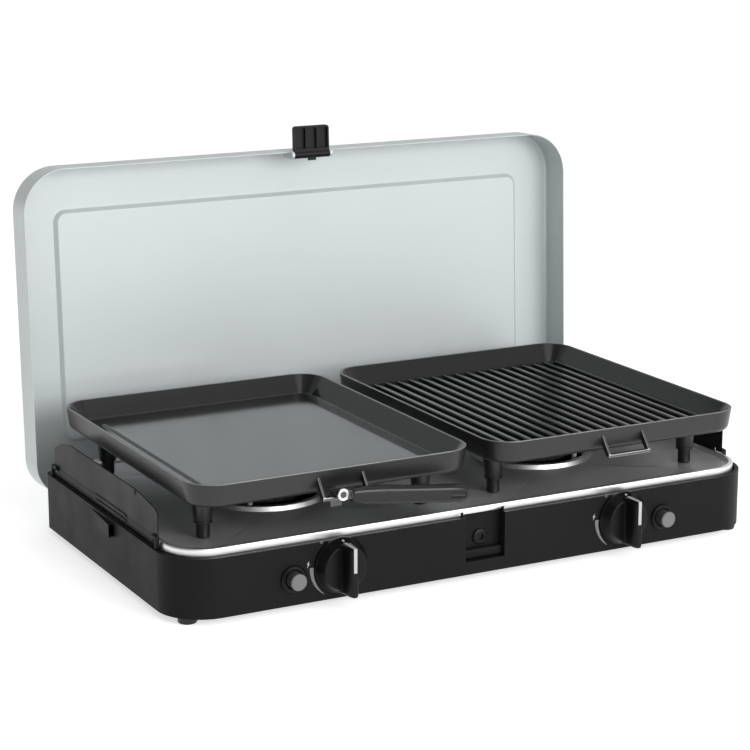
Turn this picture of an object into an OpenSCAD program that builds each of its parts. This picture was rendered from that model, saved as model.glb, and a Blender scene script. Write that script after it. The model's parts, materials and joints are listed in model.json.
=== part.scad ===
// Two-burner camping stove that folds into a flat case: black base with a steel hob, hinged lid,
// fold-up wind shields, two lift-off cooking plates and a clip-on plate handle.
// Millimetres. +X is the cook's right, +Y the back, +Z up. The feet stand on Z = 0.

/* [Case] */
// Width of the case, side to side
case_w = 595; // [590:1:605]
// Depth of the case, front to back
case_d = 315; // [313:1:320]
// Height of the painted walls of the base
wall_h = 53; // [51:1:56]
// Corner radius at the front of the case
front_r = 42; // [36:1:44]
// Corner radius at the back of the case
back_r = 10; // [6:1:14]
// Sheet thickness of the case and the lid
sheet = 1; // [1:0.1:1.5]
// Height of the rubber feet under the case
foot_h = 6; // [5:0.5:8]

/* [Lid] */
// Depth of the lid's pan, outer panel to rim
lid_depth = 35; // [30:1:40]
// Corner radius at the hinge side of the lid
lid_back_r = 34; // [10:1:42]
// Angle by which the open lid leans back
lid_lean = 2.28; // [0:0.01:4]

/* [Plates] */
// Width of a cooking plate over its rim
plate_w = 270; // [262:1:272]
// Depth of a cooking plate, front to back, over its rim
plate_d = 324; // [318:1:326]
// Height of a plate's rim above its underside
plate_h = 21; // [18:1:24]
// Distance of each burner and each plate from the middle of the stove
burner_x = 144; // [142:0.5:146]
// Number of ribs on the ribbed plate
rib_count = 18; // [14:1:19]

/* [Controls] */
// Distance of each knob from the middle of the stove
knob_x = 145; // [144:0.5:149]
// Radius of a knob's skirt
knob_r = 25; // [22:0.5:25]
// Distance of each igniter button from the middle of the stove
button_x = 189.5; // [187:0.5:194]

/* [Hidden] */

// Colours
paint_black = "#1b1c1f";
steel = "#b9bcc0";
lid_grey = "#a9afa8";
coating = "#2a2b2d";
plastic_black = "#141415";
plastic_grey = "#c9cbcb";
rubber_black = "#0e0e0f";
brass = "#b59a4c";
iron = "#3a3a3c";
ceramic = "#e8e4da";

// The open lid hangs out behind, so the base sits forward of the middle of the whole stove
base_y = -19;
eps = 0.01;
fixed_gap = 0.03;

// Heights
base_z = foot_h;
wall_top = base_z + wall_h;
crest_z = wall_top + 7;
deck_z = crest_z - 4;
well_z = crest_z - 8;
hob_sheet = 1;

// Faces of the case, in the base's own frame
front_y = -case_d / 2;
back_y = case_d / 2;
side_x = case_w / 2;

// Top fold and bottom pan of the base
lip_w = 4;
pan_gap = 0.1;
pan_flange_h = 9;

// Rubber feet
foot_r = 8.5;
foot_x = side_x - 18.5;
foot_y = case_d / 2 - 20.5;
screw_r = 1.9;
screw_head_r = 3.6;
screw_head_h = 2;
screw_recess = 1.8;
screw_len = 9;

// Hob: polished rim, flat deck, a dished well around each burner
rim_inset = 6;
rim_t = 1.5;
rim_drop = 10;
rim_notch_w = 3;
rim_notch_x = 21;
well_w = 184;
well_d = 202;
well_r = 40;
well_y = 3;
collar_r = 57;
collar_t = 3;
collar_h = 4.5;
burner_hole_r = 50;

// Burner
burner_foot_r = 12;
burner_cup_r = 20;
burner_head_r = 38;
burner_wall = 3;
burner_cup_z = base_z + sheet + 17;
burner_cup_h = 24;
burner_flare_z = crest_z - 6;
burner_top_z = crest_z + 2;
cap_r = 35;
cap_h = 4.6;
tube_r = 7;
tube_wall = 1.5;
tube_z = base_z + 30;

// Taps, gas rail and supply
knob_z = base_z + 30;
panel_hole_r = 4.5;
stem_r = 3;
stem_bore_r = 3.05;
valve_front_r = 8;
valve_block_w = 18;
valve_block_h = 20;
valve_block_y = front_y + 30;
valve_block_d = 40;
rail_y = front_y + 59.5;
rail_r = 5;
rail_end_x = 215;
jet_r = 3.5;
jet_len = 10;
tube_start = 12;
inlet_r = 6.58;
inlet_len = 12;
inlet_z = 15;
inlet_hex_r = 9;
inlet_hex_t = 2;
pipe_r = 4;
nut_t = 5;

// Knob
knob_gap = 0.8;
knob_skirt_h = 12.4;
knob_top_r = 19.8;
knob_bar_w = 9;
knob_bar_l = 44;
knob_front = 29.3;
knob_bar_base = 8;

// Igniter
button_z = base_z + 24;
button_r = 7.4;
button_bore_r = 7.5;
button_out = 12;
button_len = 23;
bezel_r = 12;
bezel_t = 3;
sleeve_r = 9;
sleeve_len = 17.5;
igniter_r = 8.5;
igniter_len = 32;
lead_r = 1.2;
lead_z = button_z - 4;
electrode_r = 2.5;
electrode_dist = 44.4;
electrode_a = -50;
tip_w = 1.4;
tip_h = 6;
tip_reach = 5;

// Latch pocket in the middle of the front wall
pocket_w = 40;
pocket_depth = 11;
pocket_z = base_z + 12;
catch_z = base_z + 16.6;
catch_t = 9;
catch_out = 6;
catch_r = 2.5;
bolt_head_r = 7;
bolt_head_h = 2.8;
bolt_z = base_z + 30.5;
bolt_r = 3;
socket_r = 3.4;

// Side louvre: a pressed scoop, open to the front
louvre_front = -18;
louvre_back = 50;
louvre_out = 4.5;
louvre_z = base_z + 38;
louvre_h = 12;

// Lid hinge, along X, just inside the back wall of the base
hinge_y = 150.7;
hinge_z = base_z + 26;
hinge_x = 200;
hinge_pin_r = 3;
hinge_bore_r = 3.05;
arm_t = 3;
arm_h = 9;
arm_lug_r = 6;
ear_t = 1.6;
ear_gap = 1;
slot_w = 7;
slot_low = 9;
slot_high = 12;

// Lid: its own plane has v up the open lid and w towards the front
lid_v = case_d;
lid_y = 212;
lid_z = base_z + 17.9;
panel_step = 2;
panel_x = 255;
panel_v0 = 47;
panel_v1 = 267.5;
panel_r = 10;

// Latch clip on the lid's front edge
clip_v = 312;
clip_w = lid_depth + 4;
clip_r = 3.7;
clip_x = 19;
clip_len = 28;
clip_t = 5;
clip_pocket_depth = 3.4;
clip_rib = 1.6;
knuckle_t = 3;
knuckle_gap = 0.3;
knuckle_root = 14;
latch_pin_r = 1.6;
latch_bore_r = 1.65;

// Wind shield: a sheet that stands outside the hob's rim and turns inward on two end knuckles
shield_in = 291.9;
shield_t = 1;
shield_low = wall_top + 1.5;
shield_top = base_z + 92.5;
shield_y0 = -109;
shield_y1 = 140;
shield_pivot_x = 293.7;
shield_pivot_z = wall_top + 9;
shield_knuckle_r = 2;
shield_pin_r = 1;
shield_bore_r = 1.05;
shield_tab = 9;
shield_slit = 1.5;
shield_slit_h = 8;
shield_hem = 5;
pivot_gap = 0.4;
pivot_plate_t = 2;

// Cooking plate
plate_y = 3.75;
plate_rim_z = base_z + 116.2;
plate_z = plate_rim_z - plate_h;
plate_wall = 3;
plate_floor = 4;
plate_corner = 28;
plate_lean = 3;
plate_flare = 12;
gutter_w = 14;
gutter_h = 1.6;
rib_pitch = 13.35;
rib_w = 5;
rib_h = 5;
rib_inset = 14;
boss_tip_r = 8;
boss_root_r = 10.5;
boss_h = 24;
boss_x = 106;
boss_y = 110;
pad_gap = 0.2;
pad_r = 6;
pad_flange_r = 8;
pad_flange_h = 2;
pad_stem_r = 3.15;
pad_bore_r = 3.2;
pad_stem_h = 10;

// Bracket on the front of a plate, and the handle that hooks into it
bracket_w = 45;
strut_t = 2.5;
bracket_top = plate_rim_z - 6;
bracket_low = base_z + 92;
bracket_y = -169.5;
bracket_bar = 4.5;
bracket_bar_h = 3;
strut_foot = 9;
hook_x = -150.5;
hook_w = 11;
hook_t = 1.5;
hook_gap = 0.3;
hook_eye_r = 5.4;
hook_tongue_y = -161.5;
hook_front_y = -173;
hook_tongue_low = base_z + 84;
rivet_z = base_z + 97.7;
rivet_r = 2.5;
rivet_bore_r = 2.55;
rivet_head_r = 5.3;
rivet_head_t = 0.9;
tang_t = 1.5;
tang_h = 8;
tang_eye_r = 5.2;
tang_len = 90;
grip_start = 6.3;
grip_end = 123;
grip_h = 16;
grip_t = 12;
grip_y = -176.5;
grip_droop = 7;
grip_slot_x = 102;
grip_slot_l = 16;
grip_slot_h = 5;
grip_slot_depth = 2.5;

// ---------- helpers ----------

// Puts a piece drawn in the base's own frame into the stove's frame
module on_base() {
    translate([0, base_y, 0]) children();
}

// Puts a piece drawn in the lid's plane (x, v, w) into the stove's frame
module on_lid() {
    on_base() translate([0, lid_y, lid_z]) rotate([90 - lid_lean, 0, 0]) children();
}

module rod_x(r, x0, x1, facets = 48) {
    translate([x0, 0, 0]) rotate([0, 90, 0]) cylinder(r = r, h = x1 - x0, $fn = facets);
}

module rod_y(r, y0, y1, facets = 48) {
    translate([0, y0, 0]) rotate([-90, 0, 0]) cylinder(r = r, h = y1 - y0, $fn = facets);
}

// Extrudes an outline drawn in Y and Z along X, from x0 to x1
module slab_x(x0, x1) {
    translate([x0, 0, 0]) rotate([90, 0, 90]) linear_extrude(x1 - x0) children();
}

// Rounded rectangle with its own radius for the low-y and the high-y corners
module rounded_plan(w, d, r_low, r_high) {
    translate([-w / 2, -d / 2 + r_low]) square([w, d - r_low - r_high]);
    translate([-w / 2 + r_low, -d / 2]) square([w - 2 * r_low, d / 2]);
    translate([-w / 2 + r_high, 0]) square([w - 2 * r_high, d / 2]);
    for (side = [-1, 1]) {
        translate([side * (w / 2 - r_low), -d / 2 + r_low]) circle(r = r_low, $fn = 96);
        translate([side * (w / 2 - r_high), d / 2 - r_high]) circle(r = r_high, $fn = 48);
    }
}

// Plan of the base, pulled in on all sides by inset
module case_plan(inset = 0) {
    rounded_plan(case_w - 2 * inset, case_d - 2 * inset, max(front_r - inset, 1), max(back_r - inset, 1));
}

// ---------- base ----------

// Scoop pressed out of a side wall; grow opens up its hollow
module louvre_wedge(side, grow = 0) {
    mouth = louvre_front - (grow > 0 ? 1 : 0);
    reach = louvre_out - grow;
    translate([0, 0, louvre_z + grow])
        linear_extrude(louvre_h - 2 * grow)
            polygon([
                [side * (side_x - sheet - grow), louvre_back - 3 * grow],
                [side * (side_x + reach), louvre_front],
                [side * (side_x + reach), mouth],
                [side * (side_x - sheet - grow), mouth]
            ]);
}

module pocket_block(wall = 0) {
    depth = pocket_depth + wall;
    low = pocket_z - wall;
    translate([-pocket_w / 2 - wall, front_y, low])
        cube([pocket_w + 2 * wall, depth, wall_top - low]);
}

module base_housing() {
    color(paint_black) on_base() difference() {
        union() {
            translate([0, 0, base_z]) linear_extrude(wall_h) difference() {
                case_plan();
                case_plan(sheet);
            }
            translate([0, 0, wall_top - sheet]) linear_extrude(sheet) difference() {
                case_plan();
                case_plan(lip_w);
            }
            pocket_block(sheet);
            for (side = [-1, 1]) louvre_wedge(side);
        }
        translate([0, -1, 1]) pocket_block();
        pocket_block();
        for (side = [-1, 1]) {
            louvre_wedge(side, sheet * 0.8);
            translate([side * knob_x, 0, knob_z]) rod_y(panel_hole_r, front_y - 1, front_y + sheet + 1);
            translate([side * button_x, 0, button_z]) rod_y(sleeve_r, front_y - 1, front_y + sheet + 1);
            translate([side * hinge_x - slot_w / 2, back_y - sheet - 1, hinge_z - slot_low])
                cube([slot_w, sheet + 2, slot_low + slot_high]);
        }
        translate([rail_end_x, 0, inlet_z]) rod_y(inlet_r, back_y - sheet - 1, back_y + 1);
        translate([0, 0, bolt_z]) rod_y(bolt_r + fixed_gap, front_y, front_y + pocket_depth + sheet + 1);
    }
}

// Bottom pan with an upturned flange inside the walls
module base_floor() {
    color(paint_black) on_base() difference() {
        translate([0, 0, base_z]) linear_extrude(pan_flange_h) case_plan(sheet + pan_gap);
        translate([0, 0, base_z + sheet]) linear_extrude(pan_flange_h) case_plan(2 * sheet + pan_gap);
        for (sx = [-1, 1], sy = [-1, 1])
            translate([sx * foot_x, sy * foot_y, 0]) cylinder(r = screw_r + 0.2, h = 20, $fn = 24);
        for (sx = [-1, 1], row = [-1, 1], k = [-1, 0, 1])
            translate([sx * burner_x + k * 24 - 4, row * 78 - 20, 0]) cube([8, 40, 20]);
        translate([rail_end_x, 0, inlet_z]) rod_y(inlet_hex_r + 0.5, back_y - 5, back_y);
    }
}

module rubber_feet() {
    color(rubber_black) on_base() for (sx = [-1, 1], sy = [-1, 1])
        translate([sx * foot_x, sy * foot_y, 0]) rotate_extrude($fn = 48) polygon([
            [screw_r + 0.15, screw_recess + screw_head_h],
            [screw_head_r + 0.3, screw_recess + screw_head_h],
            [screw_head_r + 0.3, 0],
            [foot_r - 0.8, 0],
            [foot_r, 1],
            [foot_r, foot_h],
            [screw_r + 0.15, foot_h]
        ]);
}

module foot_screws() {
    color(steel) on_base() for (sx = [-1, 1], sy = [-1, 1])
        translate([sx * foot_x, sy * foot_y, screw_recess]) {
            cylinder(r = screw_head_r, h = screw_head_h, $fn = 32);
            cylinder(r = screw_r, h = screw_head_h + screw_len, $fn = 24);
        }
}

module well_plan(side, grow = 0) {
    translate([side * burner_x, well_y])
        rounded_plan(well_w + 2 * grow, well_d + 2 * grow, well_r + grow, well_r + grow);
}

module hob_plate() {
    color(steel) on_base() difference() {
        union() {
            translate([0, 0, crest_z - rim_drop]) linear_extrude(rim_drop) difference() {
                case_plan(rim_inset);
                case_plan(rim_inset + rim_t);
            }
            translate([0, 0, deck_z - hob_sheet]) linear_extrude(hob_sheet) difference() {
                case_plan(rim_inset + rim_t / 2);
                for (side = [-1, 1]) well_plan(side);
            }
            for (side = [-1, 1]) {
                translate([0, 0, well_z - hob_sheet]) linear_extrude(deck_z - well_z + hob_sheet)
                    difference() {
                        well_plan(side, hob_sheet);
                        well_plan(side);
                    }
                translate([0, 0, well_z - hob_sheet]) linear_extrude(hob_sheet) well_plan(side, hob_sheet);
                translate([side * burner_x, 0, well_z - hob_sheet])
                    cylinder(r = collar_r, h = collar_h + hob_sheet, $fn = 96);
            }
        }
        for (side = [-1, 1]) {
            translate([side * burner_x, 0, well_z - 5]) cylinder(r = burner_hole_r, h = 20, $fn = 96);
            translate([side * burner_x, 0, well_z - 5])
                cylinder(r = collar_r - collar_t, h = 5 - hob_sheet, $fn = 96);
            translate([side * rim_notch_x - rim_notch_w / 2, front_y, crest_z - rim_drop - 1])
                cube([rim_notch_w, rim_inset + rim_t + 1, rim_drop - 1]);
        }
        translate([-rim_notch_x - rim_notch_w / 2, front_y, crest_z - rim_drop - 1])
            cube([
                2 * rim_notch_x + rim_notch_w,
                rim_inset + rim_t + eps,
                wall_top - crest_z + rim_drop + 2.5
            ]);
    }
}

// Cast burner: a foot on the pan, a mixing cup with a side inlet and a flared head
module burner_body(side) {
    floor_top = base_z + sheet;
    color(iron) on_base() translate([side * burner_x, 0, 0]) difference() {
        rotate_extrude($fn = 96) polygon([
            [0, floor_top],
            [burner_foot_r, floor_top],
            [burner_foot_r, burner_cup_z],
            [burner_cup_r, burner_cup_z],
            [burner_cup_r, burner_cup_z + burner_cup_h],
            [burner_head_r, burner_flare_z],
            [burner_head_r, burner_top_z],
            [burner_head_r - burner_wall, burner_top_z],
            [burner_head_r - burner_wall, burner_flare_z + 1],
            [burner_cup_r - burner_wall, burner_cup_z + burner_cup_h],
            [burner_cup_r - burner_wall, burner_cup_z + burner_wall],
            [0, burner_cup_z + burner_wall]
        ]);
        translate([side * (knob_x - burner_x), 0, tube_z]) rod_y(tube_r + 0.02, -burner_cup_r - 5, 0);
    }
}

module burner_cap(side) {
    cap_z = burner_top_z - 1.5;
    color(iron) on_base() translate([side * burner_x, 0, cap_z]) rotate_extrude($fn = 96) polygon([
        [0, 0],
        [cap_r - 0.1, 0],
        [cap_r - 0.1, 1.5],
        [cap_r + 1.6, 1.5],
        [cap_r + 1.6, 3],
        [cap_r - 4, cap_h],
        [0, cap_h]
    ]);
}

// Mixing tube from the jet to the burner's cup
module mixing_tube(side) {
    start = valve_block_y + valve_block_d + tube_start;
    color(steel) on_base() translate([side * knob_x, 0, tube_z]) difference() {
        union() {
            rod_y(tube_r, start, -burner_cup_r + 2);
            rod_y(tube_r + 2, start, start + 8);
        }
        rod_y(tube_r - tube_wall, start - 1, -burner_cup_r + 3);
    }
}

module gas_jets() {
    start = valve_block_y + valve_block_d;
    color(brass) on_base() for (side = [-1, 1])
        translate([side * knob_x, 0, tube_z]) difference() {
            union() {
                rod_y(jet_r, start, start + jet_len);
                rod_y(jet_r + 2, start, start + 4, 6);
            }
            rod_y(0.6, start + 2, start + jet_len + 1, 24);
        }
}

// Gas rail that carries both taps
module gas_manifold() {
    color(steel) on_base() translate([0, rail_y, knob_z]) difference() {
        rod_x(rail_r, -knob_x - 18, rail_end_x + 6);
        rod_x(rail_r - 1, -knob_x - 17, rail_end_x + 5);
        translate([rail_end_x, 0, -20]) cylinder(r = pipe_r, h = 20, $fn = 32);
    }
}

module supply_pipe() {
    rise = knob_z - inlet_z;
    color(steel) on_base() translate([rail_end_x, 0, inlet_z]) {
        rod_y(pipe_r - 0.05, rail_y, back_y - sheet - nut_t - 3);
        translate([0, rail_y, 0]) sphere(r = pipe_r - 0.05, $fn = 32);
        translate([0, rail_y, 0]) cylinder(r = pipe_r - 0.05, h = rise - rail_r + 1, $fn = 32);
    }
}

// Strap from the pocket's bolt to the gas rail
module manifold_bracket() {
    back = front_y + pocket_depth + sheet;
    color(steel) on_base() difference() {
        union() {
            translate([-10, back, bolt_z - 10]) cube([20, 2, 20]);
            translate([-10, back, bolt_z - 10]) cube([20, rail_y - back, 2]);
            translate([-10, rail_y - 8, bolt_z - 10]) cube([20, 16, 18]);
        }
        translate([0, rail_y, knob_z]) rod_x(rail_r + 0.02, -11, 11);
        translate([0, 0, bolt_z]) rod_y(bolt_r + 0.05, back - 1, back + 3);
    }
}

// Male inlet for the gas hose, just above the ground at the back
module gas_inlet() {
    color(brass) on_base() translate([rail_end_x, 0, inlet_z]) difference() {
        union() {
            rod_y(inlet_r - 0.05, back_y - sheet - nut_t - 3, back_y + eps);
            rod_y(inlet_hex_r, back_y, back_y + inlet_hex_t, 6);
            rod_y(inlet_r, back_y + inlet_hex_t, back_y + inlet_hex_t + inlet_len);
        }
        rod_y(3, back_y - 4, back_y + inlet_hex_t + inlet_len + 1, 32);
    }
}

module inlet_nut() {
    color(brass) on_base() translate([rail_end_x, 0, inlet_z]) difference() {
        rod_y(inlet_hex_r, back_y - sheet - nut_t, back_y - sheet, 6);
        rod_y(inlet_r, back_y - sheet - nut_t - 1, back_y - sheet + 1);
    }
}

// Gas tap: a barrel behind the panel and a block clamped on the gas rail
module valve_body(side) {
    color(brass) on_base() translate([side * knob_x, 0, knob_z]) difference() {
        union() {
            rod_y(valve_front_r, front_y + sheet + 1, valve_block_y + 1);
            translate([-valve_block_w / 2, valve_block_y, -valve_block_h / 2])
                cube([valve_block_w, valve_block_d, valve_block_h]);
        }
        rod_y(stem_bore_r, front_y, valve_block_y + 6);
        translate([0, rail_y, 0]) rod_x(rail_r + 0.02, -valve_block_w, valve_block_w);
    }
}

// Threaded sleeve with a round bezel outside the panel
module igniter_bezel(side) {
    color(plastic_black) on_base() translate([side * button_x, 0, button_z]) difference() {
        union() {
            rod_y(bezel_r, front_y - bezel_t, front_y);
            rod_y(sleeve_r - 0.05, front_y - eps, front_y + sleeve_len);
        }
        rod_y(button_bore_r, front_y - bezel_t - 1, front_y + sleeve_len + 1);
    }
}

module igniter_body(side) {
    start = front_y + sleeve_len;
    color(plastic_black) on_base() translate([side * button_x, 0, button_z]) difference() {
        rod_y(igniter_r, start, start + igniter_len);
        rod_y(button_bore_r, start - 1, start + 8);
    }
}

module spark_electrode(side) {
    turn = side > 0 ? electrode_a : 180 - electrode_a;
    color(ceramic) on_base() translate([side * burner_x, 0, 0]) rotate([0, 0, turn]) {
        translate([electrode_dist, 0, lead_z + 6])
            cylinder(r = electrode_r, h = crest_z - lead_z - 8, $fn = 32);
        translate([electrode_dist - tip_w / 2, -tip_w / 2, crest_z - 2 - eps]) cube([tip_w, tip_w, tip_h]);
        translate([electrode_dist - tip_reach, -tip_w / 2, crest_z - 2 + tip_h - tip_w])
            cube([tip_reach, tip_w, tip_w]);
    }
}

// A straight stretch of lead between two points, with a slightly thicker ball at its far end
module lead_run(a, b) {
    along = b - a;
    len_ab = norm(along);
    turn = atan2(along.y, along.x);
    tilt = acos(along.z / len_ab);
    translate(a) rotate([0, tilt, turn]) cylinder(r = lead_r, h = len_ab, $fn = 24);
    translate(b) sphere(r = lead_r + 0.2, $fn = 24);
}

module ignition_lead(side) {
    dist = electrode_dist;
    ex = side * (burner_x + dist * cos(electrode_a));
    ey = dist * sin(electrode_a);
    start_y = front_y + sleeve_len + igniter_len;
    points = [
        [side * button_x, start_y, lead_z],
        [side * button_x, rail_y + 16, lead_z],
        [ex, ey - 4, lead_z - 4],
        [ex, ey, lead_z],
        [ex, ey, lead_z + 6 - lead_r]
    ];
    color("#7a1f1c") on_base() for (i = [0:len(points) - 2]) lead_run(points[i], points[i + 1]);
}

// Bar across the latch pocket, for the clip's hook, with a rounded front
module catch_bar() {
    back = front_y + pocket_depth;
    round_y = back - catch_out + catch_r;
    round_z = catch_t / 2 - catch_r;
    color(paint_black) on_base() translate([0, 0, catch_z]) {
        translate([-pocket_w / 2, round_y, -catch_t / 2]) cube([pocket_w, back - round_y, catch_t]);
        translate([-pocket_w / 2, back - catch_out, -round_z]) cube([pocket_w, catch_r + eps, 2 * round_z]);
        for (side = [-1, 1]) translate([0, round_y, side * round_z])
            rod_x(catch_r, -pocket_w / 2, pocket_w / 2);
    }
}

// Round-headed bolt with a hexagon socket
module pocket_bolt() {
    back = front_y + pocket_depth;
    color(plastic_black) on_base() translate([0, back, bolt_z]) rotate([90, 0, 0]) difference() {
        union() {
            cylinder(r = bolt_head_r, h = bolt_head_h - 1, $fn = 48);
            translate([0, 0, bolt_head_h - 1])
                cylinder(r1 = bolt_head_r, r2 = bolt_head_r - 2.5, h = 1, $fn = 48);
            translate([0, 0, -8]) cylinder(r = bolt_r, h = 8 + eps, $fn = 32);
        }
        translate([0, 0, 0.8]) cylinder(r = socket_r, h = 5, $fn = 6);
    }
}

// Two ears and a foot behind the back wall, for each hinge arm
module hinge_brackets() {
    ear_x = arm_t / 2 + ear_gap;
    wall_y = back_y - sheet;
    color(steel) on_base() for (side = [-1, 1])
        translate([side * hinge_x, 0, 0]) difference() {
            union() {
                for (s = [-1, 1])
                    slab_x(s > 0 ? ear_x : -ear_x - ear_t, s > 0 ? ear_x + ear_t : -ear_x) union() {
                        translate([hinge_y, hinge_z]) circle(r = 5.2, $fn = 48);
                        translate([hinge_y, hinge_z - 5.2]) square([wall_y - hinge_y, 10.4]);
                    }
                for (s = [-1, 1])
                    translate([s > 0 ? ear_x : -ear_x - 8, wall_y - ear_t, hinge_z - 9]) cube([8, ear_t, 20]);
            }
            translate([0, hinge_y, hinge_z]) rod_x(hinge_pin_r, -20, 20);
        }
}

module hinge_pins() {
    reach = arm_t / 2 + ear_gap + ear_t;
    color(steel) on_base() for (side = [-1, 1])
        translate([side * hinge_x, hinge_y, hinge_z]) {
            rod_x(hinge_pin_r, -reach - 2, reach);
            rod_x(hinge_pin_r + 0.8, reach, reach + 1.5);
        }
}

// Small posts at the ends of each shield, with the pins that the shields turn on
module shield_pivots() {
    post_w = 4;
    color(steel) on_base() for (side = [-1, 1], end = [-1, 1]) {
        at_y = end < 0 ? shield_y0 - pivot_gap : shield_y1 + pivot_gap;
        post_y = end < 0 ? at_y - pivot_plate_t : at_y;
        pin_y0 = end < 0 ? at_y - eps : at_y - pivot_gap - shield_tab + 1;
        pin_y1 = end < 0 ? at_y + pivot_gap + shield_tab - 1 : at_y + eps;
        translate([side * shield_pivot_x, 0, 0]) {
            translate([-post_w / 2 + side * 0.3, post_y, wall_top])
                cube([post_w, pivot_plate_t, shield_pivot_z - wall_top]);
            translate([0, 0, shield_pivot_z]) rod_y(post_w / 2, post_y, post_y + pivot_plate_t);
            translate([0, 0, shield_pivot_z]) rod_y(shield_pin_r, pin_y0, pin_y1, 32);
        }
    }
}

// ---------- lid ----------

// Outline of the lid in its own plane: v = 0 is the hinge side
module lid_plan(inset = 0) {
    translate([0, lid_v / 2]) mirror([0, 1])
        rounded_plan(case_w - 2 * inset, lid_v - 2 * inset, front_r - inset, lid_back_r - inset);
}

module lid_panel(grow = 0) {
    span = panel_v1 - panel_v0;
    translate([0, (panel_v0 + panel_v1) / 2])
        rounded_plan(2 * panel_x + 2 * grow, span + 2 * grow, panel_r + grow, panel_r + grow);
}

module lid_shell() {
    color(lid_grey) on_lid() difference() {
        union() {
            difference() {
                linear_extrude(lid_depth) lid_plan();
                translate([0, 0, sheet]) linear_extrude(lid_depth) lid_plan(sheet);
            }
            linear_extrude(panel_step + sheet) lid_panel(sheet);
        }
        translate([0, 0, -1]) linear_extrude(panel_step + 1) lid_panel();
    }
}

// Hinge arms: a plate down to the pin and a foot flange on the lid's panel
module hinge_arms() {
    color(steel) for (side = [-1, 1]) {
        on_base() translate([side * hinge_x, 0, 0]) difference() {
            slab_x(-arm_t / 2, arm_t / 2) union() {
                translate([hinge_y, hinge_z]) circle(r = arm_lug_r, $fn = 48);
                translate([hinge_y, hinge_z - 4]) square([34, arm_h]);
                translate([hinge_y + 29, hinge_z - 4]) square([29.5, 36]);
            }
            translate([0, hinge_y, hinge_z]) rod_x(hinge_bore_r, -arm_t, arm_t);
        }
        on_lid() translate([side * hinge_x, 0, 0])
            translate([-arm_t / 2, 6, sheet]) cube([18, 32, 3]);
    }
}

module hinge_rivets() {
    color(steel) on_lid() for (side = [-1, 1], v = [13, 31])
        translate([side * hinge_x + 10, v, sheet + 3]) cylinder(r1 = 3.4, r2 = 2, h = 1.6, $fn = 32);
}

// Two knuckles on the lid's front edge that hold the clip's pin
module latch_knuckles() {
    inner = clip_x + knuckle_gap;
    color(lid_grey) on_lid() difference() {
        for (side = [-1, 1]) translate([side > 0 ? inner : -inner - knuckle_t, 0, 0]) {
            translate([0, clip_v, clip_w]) rod_x(clip_r, 0, knuckle_t);
            translate([0, clip_v - clip_r, lid_depth - knuckle_root])
                cube([knuckle_t, clip_r + lid_v - sheet - clip_v, knuckle_root + clip_w - lid_depth]);
        }
        translate([0, clip_v, clip_w]) rod_x(latch_pin_r, -40, 40);
    }
}

module latch_pin() {
    reach = clip_x + knuckle_gap + knuckle_t;
    color(steel) on_lid() translate([0, clip_v, clip_w]) rod_x(latch_pin_r, -reach, reach);
}

// Over-centre clip: barrel, body with three pockets, and a hook nub below the barrel
module latch_clip() {
    body_w = 2 * clip_x;
    pocket = (body_w - 4 * clip_rib) / 3;
    pocket_floor = clip_t / 2 - 0.4 - clip_pocket_depth;
    color(plastic_black) on_lid() translate([0, clip_v, clip_w]) difference() {
        union() {
            rod_x(clip_r, -clip_x, clip_x);
            translate([-clip_x, 0, -clip_t / 2 - 0.4]) cube([body_w, clip_len - 3, clip_t]);
            translate([-clip_x + 3, clip_len - 3, -clip_t / 2 - 0.4]) cube([body_w - 6, 3, clip_t]);
            for (s = [-1, 1])
                translate([s * (clip_x - 3), clip_len - 3, -clip_t / 2 - 0.4])
                    cylinder(r = 3, h = clip_t, $fn = 32);
            translate([-4, -clip_r - 2.2, 0]) cube([8, 4, 2.6]);
        }
        for (i = [0:2])
            translate([-clip_x + clip_rib + i * (pocket + clip_rib), clip_r + 2, pocket_floor])
                cube([pocket, clip_len - clip_r - 4, clip_pocket_depth + 1]);
        rod_x(latch_bore_r, -clip_x - 1, clip_x + 1);
    }
}

// ---------- wind shields ----------

module shield_outline() {
    polygon([
        [shield_y0, shield_low],
        [shield_y0, shield_top - 9],
        [shield_y0 + 5, shield_top - 6],
        [shield_y0 + 18, shield_top - 4],
        [shield_y0 + 32, shield_top - 2],
        [shield_y0 + 48, shield_top],
        [shield_y1 - 41, shield_top],
        [shield_y1 - 20, shield_top - 4],
        [shield_y1 - 5, shield_top - 10],
        [shield_y1, shield_top - 13],
        [shield_y1, shield_low]
    ]);
}

module shield(side) {
    sheet_x0 = side > 0 ? shield_in : -shield_in - shield_t;
    color(steel) on_base() difference() {
        union() {
            slab_x(sheet_x0, sheet_x0 + shield_t) shield_outline();
            slab_x(sheet_x0 - (side > 0 ? 0 : 0.6), sheet_x0 + shield_t + (side > 0 ? 0.6 : 0))
                intersection() {
                    shield_outline();
                    translate([shield_y0 + 48, shield_top - shield_hem])
                        square([shield_y1 - shield_y0 - 89, shield_hem + 1]);
                }
            for (y = [shield_y0, shield_y1 - shield_tab])
                translate([side * shield_pivot_x, 0, shield_pivot_z])
                    rod_y(shield_knuckle_r, y, y + shield_tab);
        }
        for (y = [shield_y0 + shield_tab + 0.5, shield_y1 - shield_tab - 0.5 - shield_slit])
            translate([side * shield_pivot_x - 8, y, shield_low - 1])
                cube([16, shield_slit, shield_slit_h + 1]);
        for (y = [shield_y0 - 1, shield_y1 - shield_tab])
            translate([side * shield_pivot_x - 8, y, shield_low - 1])
                cube([16, shield_tab + 1, shield_pivot_z - shield_low - 1.5]);
        translate([side * shield_pivot_x, 0, shield_pivot_z])
            rod_y(shield_bore_r, shield_y0 - 1, shield_y1 + 1, 32);
    }
}

// ---------- controls ----------

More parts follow.
